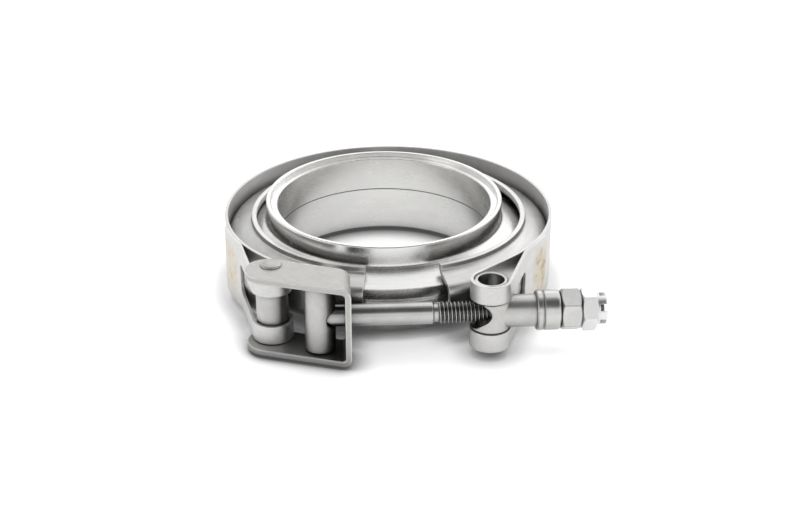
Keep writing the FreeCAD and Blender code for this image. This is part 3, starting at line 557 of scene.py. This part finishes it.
def makeTrunnion(look):
    # the barrel's mouth is bored a little to the front, so that its rim runs round the thread
    mesh = bmesh.new()
    mesh.from_mesh(frame["nodes"]["trunnion"].data)
    bmesh.ops.remove_doubles(mesh, verts=mesh.verts, dist=look["mergeDistance"])
    data = toMesh(mesh, "bored_trunnion")
    data.materials.clear()
    data.materials.append(materials["trunnion_steel"])
    piece = addObject("bored_trunnion", data)
    cutter = makeMouthCutter(look)
    cut = piece.modifiers.new("mouth", "BOOLEAN")
    cut.operation = "DIFFERENCE"
    cut.solver = "EXACT"
    cut.object = cutter
    bpy.context.view_layer.update()
    piece.data = bpy.data.meshes.new_from_object(piece.evaluated_get(bpy.context.evaluated_depsgraph_get()))
    piece.modifiers.clear()
    bpy.data.objects.remove(cutter)
    shadeSmooth(piece.data)
    shading = piece.modifiers.new("shading", "WEIGHTED_NORMAL")  # long faces lead the shading, not slivers
    shading.mode = "FACE_AREA"
    shading.weight = look["shadingWeight"]
    shading.keep_sharp = True
    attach(piece, "trunnion")
    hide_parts("trunnion")
    print("trunnion:", len(piece.data.polygons), "faces")


makeTrunnion(trunnionMouth)

studio = {
    "floorRadius": 4.0,
    "floorSides": 96,
    "floorColour": (0.96, 0.96, 0.96),
    "floorRough": 0.9,
    "floorLift": 0.45,
    "glossLift": 0.2,
    "glossClear": 0.25,
    "contactReach": 0.0075,
    "contactBand": (0.42, 0.97),
    "contactShare": 0.88,
    "contactSamples": 12,
    "skyFill": 0.8,
    "roomDark": 0.3,
    "roomTop": 0.4,
    "frontBand": (0.0, -0.2),
    "ceilingBand": (0.48, 0.64),
    "topBand": (0.5, 0.8),
    "lampAim": (0.0, 0.0, 0.01),
    "lamps": (
        {"name": "topSoftbox", "place": (0.25, 0.6, 0.85), "size": (1.3, 1.1), "power": 3.4},
        {"name": "leftSoftbox", "place": (-0.8, -0.35, 0.45), "size": (0.5, 0.6), "power": 0.6},
    ),
}


def makeFloor(look):
    mesh = bmesh.new()
    bmesh.ops.create_circle(mesh, cap_ends=True, segments=look["floorSides"], radius=look["floorRadius"])
    floor = addObject("studioFloor", toMesh(mesh, "studioFloor"))
    material = bpy.data.materials.new("paleFloor")
    material.use_nodes = True
    tree = material.node_tree
    shader = tree.nodes["Principled BSDF"]
    shader.inputs["Roughness"].default_value = look["floorRough"]
    shader.inputs["Specular IOR Level"].default_value = 0.0
    shader.inputs["Emission Color"].default_value = (1.0, 1.0, 1.0, 1.0)
    rays = addNode(tree, "ShaderNodeLightPath")
    gloss = calc(tree, "MAXIMUM", rays.outputs["Is Glossy Ray"], rays.outputs["Is Transmission Ray"])
    # a tight shadow round what stands on the floor, weaker where metal shows it
    contact = addNode(tree, "ShaderNodeAmbientOcclusion", {"Distance": look["contactReach"]},
                      samples=look["contactSamples"])
    clear = ramp(tree, contact.outputs["AO"], *look["contactBand"], 1.0 - look["contactShare"], 1.0, False)
    clear = calc(tree, "MAXIMUM", clear, calc(tree, "MULTIPLY", gloss, look["glossClear"]))
    lift = calc(tree, "ADD", calc(tree, "MULTIPLY", rays.outputs["Is Camera Ray"], look["floorLift"]),
                calc(tree, "MULTIPLY", gloss, look["glossLift"]))
    join(tree, mixColour(tree, clear, (0.0, 0.0, 0.0), look["floorColour"]), shader.inputs["Base Color"])
    join(tree, calc(tree, "MULTIPLY", lift, clear), shader.inputs["Emission Strength"])
    floor.data.materials.append(material)


def makeLamps(look):
    for lamp in look["lamps"]:
        data = bpy.data.lights.new(lamp["name"], "AREA")
        data.shape = "RECTANGLE"
        data.size, data.size_y = lamp["size"]
        data.energy = lamp["power"]
        place = Vector(lamp["place"])
        aim = (Vector(look["lampAim"]) - place).to_track_quat("-Z", "Y").to_matrix().to_4x4()
        addObject(lamp["name"], data).matrix_world = Matrix.Translation(place) @ aim


def makeWorld(look):
    world = bpy.data.worlds.new("studioWorld")
    bpy.context.scene.world = world
    world.use_nodes = True
    tree = world.node_tree
    shade = tree.nodes["Background"]
    rays = addNode(tree, "ShaderNodeLightPath")
    camera = rays.outputs["Is Camera Ray"]
    gloss = calc(tree, "MAXIMUM", rays.outputs["Is Glossy Ray"], rays.outputs["Is Transmission Ray"])
    split = addNode(tree, "ShaderNodeSeparateXYZ")
    join(tree, addNode(tree, "ShaderNodeTexCoord").outputs["Generated"], split.inputs[0])
    # metal shows a white room with an unlit ceiling in front and a dimmer one above
    dark = calc(tree, "MULTIPLY", ramp(tree, split.outputs[1], *look["frontBand"]),
                ramp(tree, split.outputs[2], *look["ceilingBand"]))
    room = calc(tree, "MULTIPLY", ramp(tree, dark, 0.0, 1.0, 1.0, look["roomDark"], False),
                ramp(tree, split.outputs[2], *look["topBand"], 1.0, look["roomTop"]))
    fill = calc(tree, "MULTIPLY", calc(tree, "SUBTRACT", 1.0, gloss), look["skyFill"])
    other = calc(tree, "ADD", calc(tree, "MULTIPLY", gloss, room), fill)
    strength = calc(tree, "ADD", calc(tree, "MULTIPLY", calc(tree, "SUBTRACT", 1.0, camera), other), camera)
    shade.inputs["Color"].default_value = (1.0, 1.0, 1.0, 1.0)
    join(tree, strength, shade.inputs["Strength"])


makeFloor(studio)
makeLamps(studio)
makeWorld(studio)
bpy.context.scene.view_settings.view_transform = "Standard"
print("studio ready")
